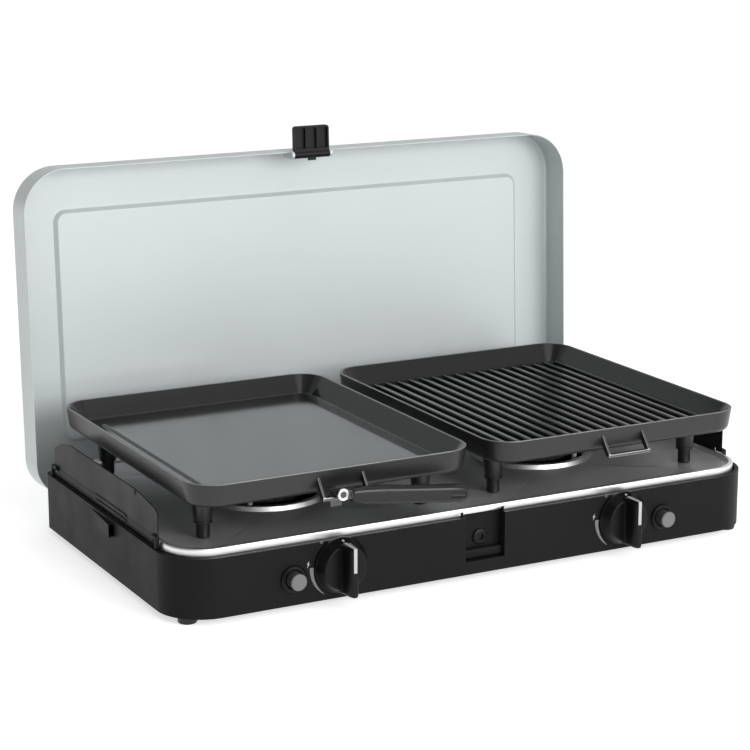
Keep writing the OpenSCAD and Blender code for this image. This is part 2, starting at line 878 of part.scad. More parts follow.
module knob(side) {
    color(plastic_black) on_base() translate([side * knob_x, front_y, knob_z]) rotate([90, 0, 0])
        difference() {
            union() {
                rotate_extrude($fn = 96) polygon([
                    [0, knob_gap],
                    [knob_r, knob_gap],
                    [knob_r, knob_gap + 1.5],
                    [knob_top_r, knob_skirt_h],
                    [0, knob_skirt_h]
                ]);
                translate([-knob_bar_w / 2, -(knob_bar_l - knob_bar_w) / 2, knob_bar_base])
                    cube([knob_bar_w, knob_bar_l - knob_bar_w, knob_front - knob_bar_base]);
                for (s = [-1, 1])
                    translate([0, s * (knob_bar_l - knob_bar_w) / 2, knob_bar_base])
                        cylinder(r = knob_bar_w / 2, h = knob_front - knob_bar_base, $fn = 48);
            }
            cylinder(r = stem_r + fixed_gap, h = knob_skirt_h + 6, $fn = 48);
        }
}

// Stem of the tap, pushed into the knob and turning in the valve
module valve_stem(side) {
    color(brass) on_base() translate([side * knob_x, 0, knob_z])
        rod_y(stem_r, front_y - knob_skirt_h - 6, valve_block_y + 5);
}

module igniter_button(side) {
    front = front_y - button_out;
    color(plastic_grey) on_base() translate([side * button_x, 0, button_z]) {
        rod_y(button_r, front + 1, front + button_len);
        translate([0, front + 1 + eps, 0]) rotate([90, 0, 0])
            cylinder(r1 = button_r, r2 = button_r - 1, h = 1 + eps, $fn = 48);
    }
}

// ---------- cooking plates ----------

module plate_plan(inset) {
    rounded_plan(plate_w - 2 * inset, plate_d - 2 * inset, plate_corner - inset, plate_corner - inset);
}

// Frustum between the plate's floor plan and its rim plan
module plate_bowl(low_inset, high_inset, low_z, high_z) {
    hull() {
        translate([0, 0, low_z]) linear_extrude(eps) plate_plan(low_inset);
        translate([0, 0, high_z - eps]) linear_extrude(eps) plate_plan(high_inset);
    }
}

// Pan with upright outer walls, sloping inner walls and four bosses underneath
module plate_pan() {
    difference() {
        union() {
            plate_bowl(plate_lean, 0, 0, plate_h);
            for (x = [-boss_x, boss_x], y = [-boss_y, boss_y])
                translate([x, y, -boss_h])
                    cylinder(r1 = boss_tip_r, r2 = boss_root_r, h = boss_h + 1, $fn = 48);
        }
        plate_bowl(plate_flare + plate_wall, plate_wall, plate_floor, plate_h + eps);
        for (x = [-boss_x, boss_x], y = [-boss_y, boss_y])
            translate([x, y, -boss_h - 1]) cylinder(r = pad_bore_r, h = pad_stem_h + 2, $fn = 32);
    }
}

module griddle_plate() {
    raised = plate_flare + plate_wall + gutter_w;
    color(coating) on_base() translate([-burner_x, plate_y, plate_z]) {
        plate_pan();
        translate([0, 0, plate_floor - 0.5]) linear_extrude(gutter_h + 0.5)
            rounded_plan(plate_w - 2 * raised, plate_d - 2 * raised, 8, 8);
    }
}

module grill_plate() {
    rib_len = plate_d - 2 * (plate_flare + plate_wall + rib_inset);
    color(coating) on_base() translate([burner_x, plate_y, plate_z]) {
        plate_pan();
        for (i = [0:rib_count - 1])
            translate([(i - (rib_count - 1) / 2) * rib_pitch - rib_w / 2, -rib_len / 2, plate_floor - 0.5])
                cube([rib_w, rib_len, rib_h + 0.5]);
    }
}

// Rubber pads that plug into the plate's bosses and stand on the hob
module plate_pads(side) {
    low = deck_z + pad_gap;
    boss_low = plate_z - boss_h;
    color(rubber_black) on_base() for (x = [-boss_x, boss_x], y = [-boss_y, boss_y])
        translate([side * burner_x + x, plate_y + y, 0]) rotate_extrude($fn = 48) polygon([
            [0, low],
            [pad_r - 0.6, low],
            [pad_r, low + 0.6],
            [pad_r, boss_low - pad_flange_h],
            [pad_flange_r, boss_low - pad_flange_h],
            [pad_flange_r, boss_low],
            [pad_stem_r, boss_low],
            [pad_stem_r, boss_low + pad_stem_h],
            [0, boss_low + pad_stem_h]
        ]);
}

// Loop under the front of the rim: two struts and a bar
module plate_bracket(side) {
    lean_per_mm = plate_lean / plate_h;
    wall_top_y = plate_y - plate_d / 2 + (plate_rim_z - bracket_top) * lean_per_mm;
    wall_low_y = wall_top_y + strut_foot * lean_per_mm;
    strut_x = (bracket_w - strut_t) / 2;
    color(steel) on_base() translate([side * burner_x, 0, 0]) {
        for (x = [-strut_x, strut_x])
            slab_x(x - strut_t / 2, x + strut_t / 2) polygon([
                [wall_top_y, bracket_top],
                [wall_low_y, bracket_top - strut_foot],
                [bracket_y + bracket_bar, bracket_low],
                [bracket_y, bracket_low],
                [bracket_y, bracket_low + bracket_bar_h]
            ]);
        translate([-bracket_w / 2, bracket_y, bracket_low]) cube([bracket_w, bracket_bar, bracket_bar_h]);
    }
}

// ---------- plate handle ----------

// Hook: a tongue behind the bracket's bar, a bridge over it and a front leg with the rivet
module handle_hook() {
    bridge = bracket_low + bracket_bar_h + hook_gap;
    color("#cfd2d4") on_base() translate([hook_x, 0, 0]) difference() {
        union() {
            slab_x(-hook_w / 2, hook_w / 2) union() {
                translate([hook_tongue_y, hook_tongue_low])
                    square([hook_t, bridge + hook_t - hook_tongue_low]);
                translate([hook_front_y, bridge]) square([hook_tongue_y + hook_t - hook_front_y, hook_t]);
            }
            translate([0, 0, rivet_z]) rod_y(hook_eye_r, hook_front_y, hook_front_y + hook_t);
        }
        translate([0, 0, rivet_z]) rod_y(rivet_r, hook_front_y - 1, hook_front_y + hook_t + 1, 32);
    }
}

module handle_rivet() {
    front = hook_front_y - 0.3 - tang_t - 0.2;
    color("#cfd2d4") on_base() translate([hook_x, 0, rivet_z]) {
        rod_y(rivet_r, front - rivet_head_t + eps, hook_front_y + hook_t, 32);
        rod_y(rivet_head_r, front - rivet_head_t, front, 48);
    }
}

// Frame of the grip: x runs out along the grip from the rivet
module on_grip() {
    on_base() translate([hook_x, 0, rivet_z]) rotate([0, grip_droop, 0]) children();
}

module handle_tang() {
    back = hook_front_y - 0.3;
    color("#cfd2d4") on_grip() difference() {
        union() {
            rod_y(tang_eye_r, back - tang_t, back, 48);
            translate([0, back - tang_t, -tang_h / 2]) cube([tang_len, tang_t, tang_h]);
        }
        rod_y(rivet_bore_r, back - tang_t - 1, back + 1, 32);
    }
}

module handle_grip() {
    back = hook_front_y - 0.3;
    end_r = grip_h / 2;
    color(plastic_black) on_grip() difference() {
        translate([0, grip_y - grip_t / 2, 0]) {
            translate([grip_start, 0, -end_r]) cube([grip_end - grip_start - end_r, grip_t, grip_h]);
            translate([grip_end - end_r, 0, 0]) rod_y(end_r, 0, grip_t, 64);
        }
        translate([grip_start - 1, back - tang_t - 0.1, -tang_h / 2 - 0.1])
            cube([tang_len - grip_start + 1.2, tang_t + 0.2, tang_h + 0.2]);
        translate([grip_slot_x, grip_y - grip_t / 2 - 1, -grip_slot_h / 2])
            cube([grip_slot_l, grip_slot_depth + 1, grip_slot_h]);
    }
}

// ---------- drawing ----------

base_housing();
base_floor();
rubber_feet();
foot_screws();
hob_plate();
burner_body(-1);  // burner_body_left
burner_body(1);  // burner_body_right
burner_cap(-1);  // burner_cap_left
burner_cap(1);  // burner_cap_right
mixing_tube(-1);  // mixing_tube_left
mixing_tube(1);  // mixing_tube_right
gas_jets();
gas_manifold();
supply_pipe();
manifold_bracket();
gas_inlet();
inlet_nut();
valve_body(-1);  // valve_body_left
valve_body(1);  // valve_body_right
igniter_bezel(-1);  // igniter_bezel_left
igniter_bezel(1);  // igniter_bezel_right
igniter_body(-1);  // igniter_body_left
igniter_body(1);  // igniter_body_right
spark_electrode(-1);  // spark_electrode_left
spark_electrode(1);  // spark_electrode_right
ignition_lead(-1);  // ignition_lead_left
ignition_lead(1);  // ignition_lead_right
catch_bar();
pocket_bolt();
hinge_brackets();
hinge_pins();
shield_pivots();
lid_shell();
hinge_arms();
hinge_rivets();
latch_knuckles();
latch_pin();
latch_clip();
shield(-1);  // shield_left
shield(1);  // shield_right
knob(-1);  // knob_left
knob(1);  // knob_right
valve_stem(-1);  // valve_stem_left
valve_stem(1);  // valve_stem_right
igniter_button(-1);  // button_left
igniter_button(1);  // button_right
griddle_plate();
plate_bracket(-1);  // griddle_bracket
plate_pads(-1);  // griddle_feet
grill_plate();
plate_bracket(1);  // grill_bracket
plate_pads(1);  // grill_feet
handle_hook();
handle_rivet();
handle_tang();
handle_grip();
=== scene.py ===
import json
import math

import bmesh
import bpy
from mathutils import Matrix, Vector

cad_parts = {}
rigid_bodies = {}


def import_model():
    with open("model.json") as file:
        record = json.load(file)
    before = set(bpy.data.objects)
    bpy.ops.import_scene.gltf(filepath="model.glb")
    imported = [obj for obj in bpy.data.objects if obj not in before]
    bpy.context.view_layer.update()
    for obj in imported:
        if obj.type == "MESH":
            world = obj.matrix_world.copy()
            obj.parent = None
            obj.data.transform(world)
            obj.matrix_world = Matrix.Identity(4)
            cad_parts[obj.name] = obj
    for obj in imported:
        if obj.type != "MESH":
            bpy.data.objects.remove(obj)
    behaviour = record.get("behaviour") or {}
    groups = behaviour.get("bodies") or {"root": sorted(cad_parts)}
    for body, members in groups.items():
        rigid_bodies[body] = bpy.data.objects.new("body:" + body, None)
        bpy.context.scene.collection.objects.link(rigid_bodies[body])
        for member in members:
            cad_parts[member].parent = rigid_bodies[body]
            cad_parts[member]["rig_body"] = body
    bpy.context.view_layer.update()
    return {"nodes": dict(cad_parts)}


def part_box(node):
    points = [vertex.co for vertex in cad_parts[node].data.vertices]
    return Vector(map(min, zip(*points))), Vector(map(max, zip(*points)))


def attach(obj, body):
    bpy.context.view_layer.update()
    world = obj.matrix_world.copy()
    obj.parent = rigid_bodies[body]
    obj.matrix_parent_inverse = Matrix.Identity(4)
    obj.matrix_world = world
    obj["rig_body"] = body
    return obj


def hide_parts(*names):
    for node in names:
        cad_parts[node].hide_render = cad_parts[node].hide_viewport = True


# Looks of the two-burner camping stove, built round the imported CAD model.
# Lengths are millimetres until a mesh is made, and metres after that.

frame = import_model()
MM = 0.001


def cad_mm(node):
    """Lowest and highest corner of a CAD node in millimetres."""
    low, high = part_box(node)
    return low / MM, high / MM


def middle(node):
    low, high = cad_mm(node)
    return (low + high) / 2


# The base's own frame lies in the middle of the housing's plan
BASE_Y = middle("base_housing").y
BASE = Matrix.Translation((0, BASE_Y, 0))
LID_LEAN = 2.28
LID_EDGE = (0, 212, 23.9)
LID = BASE @ Matrix.Translation(LID_EDGE) @ Matrix.Rotation(math.radians(90 - LID_LEAN), 4, "X")
GRIP_DROOP = 7
rivet_low, rivet_high = cad_mm("handle_rivet")
HOOK_X = (rivet_low.x + rivet_high.x) / 2
RIVET_Z = (rivet_low.z + rivet_high.z) / 2
GRIP = Matrix.Translation((HOOK_X, BASE_Y, RIVET_Z)) @ Matrix.Rotation(math.radians(GRIP_DROOP), 4, "Y")

# Heights and faces of the base in its own frame, rounded off to the CAD's own steps
house_low, house_high = cad_mm("base_housing")
FRONT = round(house_low.y - BASE_Y, 2)
BACK = round(house_high.y - BASE_Y, 2)
SIDE = round(cad_mm("lid_shell")[1].x, 2)
CREST = round(cad_mm("hob_plate")[1].z, 2)
DECK = CREST - 4
WELL = CREST - 8
FRONT_R, BACK_R = 42, 10
BURNER_X = round(middle("burner_body_right").x, 2)
KNOB_X, KNOB_Z = (round(middle("knob_right")[axis], 2) for axis in (0, 2))
BUTTON_X, BUTTON_Z = (round(middle("button_right")[axis], 2) for axis in (0, 2))

# ---------- camera, world and lights ----------

scene = bpy.context.scene


def look_camera():
    data = bpy.data.cameras.new("camera")
    data.lens = 107.93
    data.sensor_width = 36
    cam = bpy.data.objects.new("camera", data)
    scene.collection.objects.link(cam)
    cam.location = (-0.980, -1.81145, 0.651)
    turn, down = math.radians(27.99), math.radians(13.71)
    aim = Vector((math.sin(turn) * math.cos(down), math.cos(turn) * math.cos(down), -math.sin(down)))
    cam.rotation_euler = aim.to_track_quat("-Z", "Y").to_euler()
    scene.camera = cam


def area_light(name, place, target, size, watts):
    data = bpy.data.lights.new(name, "AREA")
    data.shape = "RECTANGLE"
    data.size, data.size_y = size
    data.energy = watts
    lamp = bpy.data.objects.new(name, data)
    scene.collection.objects.link(lamp)
    lamp.location = place
    lamp.rotation_euler = (Vector(target) - Vector(place)).to_track_quat("-Z", "Y").to_euler()


def studio():
    world = bpy.data.worlds.new("studio")
    world.use_nodes = True
    scene.world = world
    tree = world.node_tree
    back = tree.nodes["Background"]
    back.inputs["Strength"].default_value = 1.0
    where = tree.nodes.new("ShaderNodeTexCoord")
    axes = tree.nodes.new("ShaderNodeSeparateXYZ")
    tree.links.new(where.outputs["Generated"], axes.inputs["Vector"])
    level = None
    # Bright in front, dimmer behind, to the left and overhead
    for axis, low, high, at_low, at_high in (("Y", -0.9, 0.4, 1.1, 0.72), ("X", -0.85, -0.1, 0.35, 1.0),
                                             ("Z", 0.35, 1.0, 1.0, 0.5)):
        fall = tree.nodes.new("ShaderNodeMapRange")
        fall.interpolation_type = "SMOOTHSTEP"
        for socket, value in (("From Min", low), ("From Max", high), ("To Min", at_low), ("To Max", at_high)):
            fall.inputs[socket].default_value = value
        tree.links.new(axes.outputs[axis], fall.inputs["Value"])
        if level is None:
            level = fall.outputs["Result"]
        else:
            times = tree.nodes.new("ShaderNodeMath")
            times.operation = "MULTIPLY"
            tree.links.new(level, times.inputs[0])
            tree.links.new(fall.outputs["Result"], times.inputs[1])
            level = times.outputs["Value"]
    tree.links.new(level, back.inputs["Color"])
    scene.view_settings.view_transform = "Standard"
    area_light("key", (0.5, -2.1, 0.9), (0, 0, 0.2), (1.8, 1.0), 31)
    area_light("top", (0.1, -0.5, 1.9), (0, 0.05, 0.1), (1.6, 1.0), 6)
    mesh = bpy.data.meshes.new("floor")
    reach = 300
    mesh.from_pydata([(-reach, -reach, 0), (reach, -reach, 0), (reach, reach, 0), (-reach, reach, 0)], [],
                     [(0, 1, 2, 3)])
    ground = bpy.data.objects.new("floor", mesh)
    scene.collection.objects.link(ground)
    white = bpy.data.materials.new("floor_white")
    white.use_nodes = True
    shader = white.node_tree.nodes["Principled BSDF"]
    shader.inputs["Base Color"].default_value = (0.75, 0.75, 0.75, 1)
    shader.inputs["Roughness"].default_value = 1
    shader.inputs["Specular IOR Level"].default_value = 0
    shader.inputs["Emission Color"].default_value = (1, 1, 1, 1)
    shader.inputs["Emission Strength"].default_value = 0.62
    mesh.materials.append(white)


# ---------- materials ----------

made = {}


def finish(name, color, rough=0.4, metal=0.0, spec=0.5, coat=0.0, coat_rough=0.1, tone=0.06, tone_scale=9.0,
           rough_vary=0.05, grain=0.1, grain_scale=900.0, stretch=(1, 1, 1), speck=0.0, speck_scale=1500.0):
    """Principled material: colour drifts softly, roughness varies, and fine grain stands in the bump."""
    if name in made:
        return made[name]
    mat = bpy.data.materials.new(name)
    mat.use_nodes = True
    tree = mat.node_tree
    add, link = tree.nodes.new, tree.links.new
    shader = tree.nodes["Principled BSDF"]
    shader.inputs["Metallic"].default_value = metal
    shader.inputs["Specular IOR Level"].default_value = spec
    shader.inputs["Coat Weight"].default_value = coat
    shader.inputs["Coat Roughness"].default_value = coat_rough
    where = add("ShaderNodeTexCoord")
    scale = add("ShaderNodeMapping")
    scale.inputs["Scale"].default_value = stretch
    link(where.outputs["Object"], scale.inputs["Vector"])

    def cloud(size, detail, rough_noise=0.55):
        node = add("ShaderNodeTexNoise")
        node.inputs["Scale"].default_value = size
        node.inputs["Detail"].default_value = detail
        node.inputs["Roughness"].default_value = rough_noise
        link(scale.outputs["Vector"], node.inputs["Vector"])
        return node.outputs["Fac"]

    def spread(source, low, high):
        node = add("ShaderNodeMapRange")
        node.inputs["From Min"].default_value = 0.3
        node.inputs["From Max"].default_value = 0.7
        node.inputs["To Min"].default_value = low
        node.inputs["To Max"].default_value = high
        link(source, node.inputs["Value"])
        return node.outputs["Result"]

    ramp = add("ShaderNodeMix")
    ramp.data_type = "RGBA"
    ramp.inputs[6].default_value = (*(c * (1 - tone) for c in color), 1)
    ramp.inputs[7].default_value = (*(min(1, c * (1 + tone)) for c in color), 1)
    link(spread(cloud(tone_scale, 3), 0, 1), ramp.inputs[0])
    result = ramp.outputs[2]
    if speck:
        dots = add("ShaderNodeMix")
        dots.data_type = "RGBA"
        dots.inputs[7].default_value = (*(min(1, c * 2.6 + 0.02) for c in color), 1)
        link(result, dots.inputs[6])
        bright = add("ShaderNodeMapRange")
        bright.inputs["From Min"].default_value = 0.66
        bright.inputs["From Max"].default_value = 0.74
        bright.inputs["To Max"].default_value = speck
        link(cloud(speck_scale, 1), bright.inputs["Value"])
        link(bright.outputs["Result"], dots.inputs[0])
        result = dots.outputs[2]
    link(result, shader.inputs["Base Color"])
    link(spread(cloud(tone_scale * 3.1, 4), max(0.02, rough - rough_vary), min(1, rough + rough_vary)),
         shader.inputs["Roughness"])
    if grain:
        bump = add("ShaderNodeBump")
        bump.inputs["Strength"].default_value = grain
        bump.inputs["Distance"].default_value = 0.0004
        link(cloud(grain_scale, 2), bump.inputs["Height"])
        link(bump.outputs["Normal"], shader.inputs["Normal"])
    made[name] = mat
    return mat


FINISHES = {
    "painted_steel": dict(color=(0.0080, 0.0080, 0.0086), rough=0.46, spec=0.09, tone=0.10, grain=0.16,
                          grain_scale=1400),
    "hob_steel": dict(color=(0.60, 0.602, 0.605), rough=0.46, metal=0.8, tone=0.05, rough_vary=0.05, grain=0.04,
                      grain_scale=420, stretch=(0.12, 3, 1)),
    "rim_polish": dict(color=(0.80, 0.80, 0.80), rough=0.34, metal=1, tone=0.03, rough_vary=0.04, grain=0.03,
                       grain_scale=300, stretch=(0.1, 1, 4)),
    "lid_paint": dict(color=(0.50, 0.542, 0.540), rough=0.36, metal=0.12, spec=0.45, coat=0.2, coat_rough=0.22,
                      tone=0.012, rough_vary=0.04, grain=0.05, grain_scale=1800, speck=0.12, speck_scale=2600),
    "plate_coating": dict(color=(0.0105, 0.0105, 0.011), rough=0.32, spec=0.45, coat=0.1, coat_rough=0.25, tone=0.05,
                          rough_vary=0.015, grain=0.07, grain_scale=1300, speck=0.2, speck_scale=1700),
    "cooking_face": dict(color=(0.0085, 0.0085, 0.0088), rough=0.13, spec=0.33, coat=0.15, coat_rough=0.1, tone=0.05,
                         rough_vary=0.015, grain=0.05, grain_scale=1300, speck=0.2, speck_scale=1700),
    # Bright metal for the brackets' rounded edges: wear and painted highlight
    "wear_and_edge_highlight": dict(color=(0.36, 0.36, 0.36), rough=0.3, metal=1, tone=0.1, tone_scale=60, grain=0.08),
    # Lighter metal for the plates' rim band: bare metal and painted highlight
    "bare_rim_and_highlight": dict(color=(0.27, 0.27, 0.27), rough=0.38, metal=1, tone=0.12, tone_scale=60, grain=0.1,
                      grain_scale=900),
    "black_plastic": dict(color=(0.0022, 0.0022, 0.0025), rough=0.36, spec=0.2, tone=0.1, grain=0.12,
                          grain_scale=1600),
    "clip_plastic": dict(color=(0.006, 0.006, 0.0066), rough=0.46, spec=0.18, tone=0.1, grain=0.12, grain_scale=1600),
    "grip_plastic": dict(color=(0.005, 0.005, 0.0055), rough=0.24, spec=0.35, coat=0.12, coat_rough=0.15, tone=0.1,
                         grain=0.06, grain_scale=1200),
    "grey_plastic": dict(color=(0.14, 0.142, 0.142), rough=0.5, spec=0.35, tone=0.05, grain=0.2, grain_scale=1500),
    # Dark grey that paints shade on the button's stem and a highlight on the latch clip's edges
    "painted_shade_and_highlight": dict(color=(0.045, 0.045, 0.047), rough=0.42, spec=0.4, tone=0.08, grain=0.15, grain_scale=1500),
    "rubber": dict(color=(0.006, 0.006, 0.006), rough=0.28, spec=0.4, tone=0.15, grain=0.12, grain_scale=1000),
    "brass": dict(color=(0.62, 0.45, 0.19), rough=0.3, metal=1, tone=0.08, grain=0.08, grain_scale=800),
    "burner_iron": dict(color=(0.035, 0.035, 0.037), rough=0.55, metal=0.4, spec=0.4, tone=0.25, tone_scale=40,
                        grain=0.4, grain_scale=700),
    "zinc_steel": dict(color=(0.50, 0.51, 0.53), rough=0.32, metal=1, tone=0.1, tone_scale=30, grain=0.1,
                       grain_scale=700),
    "shield_paint": dict(color=(0.0085, 0.0085, 0.009), rough=0.44, spec=0.15, tone=0.1, grain=0.14, grain_scale=1400),
    "chrome": dict(color=(0.86, 0.86, 0.87), rough=0.12, metal=1, tone=0.02, rough_vary=0.03, grain=0.02),
    "dark_steel": dict(color=(0.10, 0.10, 0.105), rough=0.3, metal=1, tone=0.1, tone_scale=40, grain=0.08),
    "ceramic": dict(color=(0.78, 0.76, 0.70), rough=0.6, spec=0.4, tone=0.06, tone_scale=60, grain=0.2),
    "lead_sleeve": dict(color=(0.24, 0.03, 0.02), rough=0.5, spec=0.4, tone=0.08, grain=0.15),
    "print_white": dict(color=(0.42, 0.42, 0.42), rough=0.55, spec=0.3, tone=0.04, grain=0.1),
    "print_grey": dict(color=(0.17, 0.17, 0.17), rough=0.55, spec=0.2, tone=0.06, grain=0.1),
}


def look(name):
    return finish(name, **FINISHES[name])


# ---------- mesh helpers ----------

def fillet(points, radii, steps=5):
    """Rounds the corners of an open polyline of (a, b) points by the given radii."""
    out = []
    last = len(points) - 1
    for i, (p, r) in enumerate(zip(points, radii)):
        if r == 0 or i in (0, last):
            out.append(tuple(p))
            continue
        p = Vector(p)
        before, after = Vector(points[i - 1]) - p, Vector(points[i + 1]) - p
        angle = before.angle(after)
        cut = min(r / math.tan(angle / 2), before.length * 0.49, after.length * 0.49)
        start, end = p + before.normalized() * cut, p + after.normalized() * cut
        for k in range(steps + 1):
            t = k / steps
            out.append(tuple(start * (1 - t) ** 2 + p * (2 * t * (1 - t)) + end * t * t))
    return out


def bend(cx, cy, r, start, end, count=8):
    """Points of an arc from start to end degrees."""
    turns = [math.radians(start + (end - start) * k / count) for k in range(count + 1)]
    return [(cx + r * math.cos(t), cy + r * math.sin(t)) for t in turns]


def plan_ring(x0, x1, y0, y1, r_low, r_high, seg=12, cuts_low=(), cuts_high=(), side=6):
    """Rounded rectangle, anticlockwise from its low-y left corner. Rings of one call pattern match in points."""
    def run(a, b, count):
        shares = [k / (count + 1) for k in range(1, count + 1)]
        return [(a[0] + (b[0] - a[0]) * t, a[1] + (b[1] - a[1]) * t) for t in shares]

    def arc(cx, cy, r, start):
        return bend(cx, cy, r, start, start + 90, seg)

    low_left = arc(x0 + r_low, y0 + r_low, r_low, 180)
    low_right = arc(x1 - r_low, y0 + r_low, r_low, 270)
    high_right = arc(x1 - r_high, y1 - r_high, r_high, 0)
    high_left = arc(x0 + r_high, y1 - r_high, r_high, 90)
    points = list(low_left)
    points += [(x, y0) for x in cuts_low] if cuts_low else run(low_left[-1], low_right[0], side)
    points += low_right + run(low_right[-1], high_right[0], side) + high_right
    points += [(x, y1) for x in cuts_high] if cuts_high else run(high_right[-1], high_left[0], side)
    points += high_left + run(high_left[-1], low_left[0], side)
    return points


def loft(rings, cap_first=True, cap_last=True, wrap=False):
    n = len(rings[0])
    verts = [p for ring in rings for p in ring]
    faces = []
    count = len(rings)
    for i in range(count if wrap else count - 1):
        a, b = i * n, ((i + 1) % count) * n
        for j in range(n):
            k = (j + 1) % n
            faces.append((a + j, a + k, b + k, b + j))
    if cap_first and not wrap:
        faces.append(tuple(range(n))[::-1])
    if cap_last and not wrap:
        faces.append(tuple(range((count - 1) * n, count * n)))
    return verts, faces


def level_ring(r, h, n):
    """Circle of n points at height h."""
    turns = [2 * math.pi * k / n for k in range(n)]
    return [(r * math.cos(t), r * math.sin(t), h) for t in turns]


def revolve(profile, n=64, cap_first=False, cap_last=False, wrap=False):
    """Turns a profile of (r, h) points round the h axis, which becomes +Z."""
    return loft([level_ring(max(r, 0), h, n) for r, h in profile], cap_first, cap_last, wrap)


def prism(outline, h0, h1):
    n = len(outline)
    verts = [(x, y, h0) for x, y in outline] + [(x, y, h1) for x, y in outline]
    faces = [tuple(range(n))[::-1], tuple(range(n, 2 * n))]
    faces += [(j, (j + 1) % n, n + (j + 1) % n, n + j) for j in range(n)]
    return verts, faces


def joined(*parts):
    """Several (verts, faces) as one."""
    verts, faces = [], []
    for v, f in parts:
        base = len(verts)
        verts += list(v)
        faces += [tuple(i + base for i in face) for face in f]
    return verts, faces


def moved(part, matrix):
    return [tuple(matrix @ Vector(v)) for v in part[0]], part[1]


def round_edges(bm, width, steps=3, angle=30, slot=-1):
    sharp = [e for e in bm.edges if len(e.link_faces) == 2 and e.calc_face_angle(0) > math.radians(angle)]
    if sharp and width:
        bmesh.ops.bevel(bm, geom=sharp, offset=width, offset_type="OFFSET", segments=steps, profile=0.5, affect="EDGES",
                        clamp_overlap=True, material=slot)


def place(name, bm, mat, body, slot, stands_for=(), angle=35, thickness=0):
    """Makes the piece's object from a bmesh in metres, and puts it on its body."""
    mesh = bpy.data.meshes.new(name)
    bm.to_mesh(mesh)
    bm.free()
    mesh.materials.append(mat)
    mesh.shade_smooth()
    mesh.set_sharp_from_angle(angle=math.radians(angle))
    obj = bpy.data.objects.new(name, mesh)
    scene.collection.objects.link(obj)
    if thickness:
        solid = obj.modifiers.new("thickness", "SOLIDIFY")
        solid.thickness = thickness * MM
        solid.offset = -1
        solid.use_even_offset = True
    weighted = obj.modifiers.new("normals", "WEIGHTED_NORMAL")
    weighted.keep_sharp = True
    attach(obj, body)
    if stands_for:
        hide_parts(*stands_for)
    return obj


def piece(name, part, mat, body, slot, stands_for=(), frame_at=BASE, edge=0, steps=3, angle=35, edge_angle=30,
          thickness=0, edit=None):
    """A piece from millimetre verts and faces, in the frame given by frame_at."""
    verts, faces = part
    bm = bmesh.new()
    points = [bm.verts.new(tuple((frame_at @ Vector(v)) * MM)) for v in verts]
    for face in faces:
        try:
            bm.faces.new([points[i] for i in face])
        except ValueError:
            pass
    bmesh.ops.remove_doubles(bm, verts=bm.verts, dist=0.004 * MM)
    bmesh.ops.recalc_face_normals(bm, faces=bm.faces)
    if edge:
        round_edges(bm, edge * MM, steps, edge_angle)
    if edit:
        edit(bm)
    return place(name, bm, look(mat), body, slot, stands_for, angle, thickness)


def softened(node, mat, slot, edge=0.4, steps=2, edge_angle=35, edge_mat=None):
    """The CAD node's own shape with its edges rounded off; if edge_mat is given, the rounded edges take that lighter
    finish as a painted highlight, with wear on the brackets.
    """
    bm = bmesh.new()
    bm.from_mesh(frame["nodes"][node].data)
    bmesh.ops.remove_doubles(bm, verts=bm.verts, dist=0.004 * MM)
    bmesh.ops.dissolve_limit(bm, angle_limit=math.radians(0.6), verts=bm.verts, edges=bm.edges)
    bmesh.ops.recalc_face_normals(bm, faces=bm.faces)
    round_edges(bm, edge * MM, steps, edge_angle, 1 if edge_mat else -1)
    obj = place(node + "_finished", bm, look(mat), frame["nodes"][node]["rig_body"], slot, (node,))
    if edge_mat:
        obj.data.materials.append(look(edge_mat))
    return obj


def carried(node, mat):
    """A CAD node that keeps its own mesh, with its finish."""
    data = frame["nodes"][node].data
    data.materials.clear()
    data.materials.append(look(mat))


look_camera()
studio()


# ---------- lid ----------

LID_V = 315
LID_BACK_R = 34
PANEL_X, PANEL_LOW, PANEL_HIGH, PANEL_R = 255, 47, 269.5, 10


def lid_ring(inset, w):
    return [(x, v, w) for x, v in plan_ring(-SIDE + inset, SIDE - inset, inset, LID_V - inset,
                                            max(LID_BACK_R - inset, 1), max(FRONT_R - inset, 1), seg=20, side=8)]


def emboss_ring(grow, w):
    return [(x, v, w) for x, v in plan_ring(-PANEL_X - grow, PANEL_X + grow, PANEL_LOW - grow, PANEL_HIGH + grow,
                                            PANEL_R + grow, PANEL_R + grow, seg=20, side=8)]


def make_lid():
    sheet, depth = 1.0, 35
    rings = [emboss_ring(g, w) for g, w in fillet([(-9, 3.8), (-1.6, 3.8), (1.8, 0), (9, 0)], [0, 1.1, 1.1, 0], 4)]
    wall = fillet([(14, 0), (0, 0), (0, depth), (sheet, depth), (sheet, sheet), (14, sheet)], [0, 4, 0.5, 0.5, 3, 0], 6)
    rings += [lid_ring(inset, w) for inset, w in wall]
    outside = fillet([(9, sheet), (2.4, sheet), (-1.2, 4.8), (-9, 4.8)], [0, 0.9, 0.9, 0], 4)
    rings += [emboss_ring(g, w) for g, w in outside]
    piece("lid_pressing", loft(rings), "lid_paint", "lid", "lid_paint", ("lid_shell",), LID)
    softened("latch_knuckles", "lid_paint", "lid_paint", 0.5, 3)
    # The clip's rounded edges take a lighter grey as a painted highlight.
    softened("latch_clip", "clip_plastic", "black_plastic", 0.45, 2, edge_mat="painted_shade_and_highlight")
    softened("hinge_arms", "zinc_steel", "zinc_steel", 0.35)
    softened("hinge_rivets", "zinc_steel", "zinc_steel", 0.3)
    carried("latch_pin", "zinc_steel")


# ---------- cooking plates ----------

RIM = 21
PLATE_Y = round(middle("griddle_plate").y - BASE_Y, 2)
PLATE_Z = round(cad_mm("griddle_plate")[1].z - RIM, 2)
PLATE_X, PLATE_LONG, PLATE_R = 135, 162, 28
LEG_X, LEG_Y = 106, 110
RIBS, RIB_PITCH, RIB_HALF = 18, 13.35, 133


def plate_ring(inset, z):
    r = max(PLATE_R - inset, 8)
    return [(x, y, z) for x, y in plan_ring(-PLATE_X + inset, PLATE_X - inset, -PLATE_LONG + inset, PLATE_LONG - inset,
                                            r, r, seg=14, side=9)]


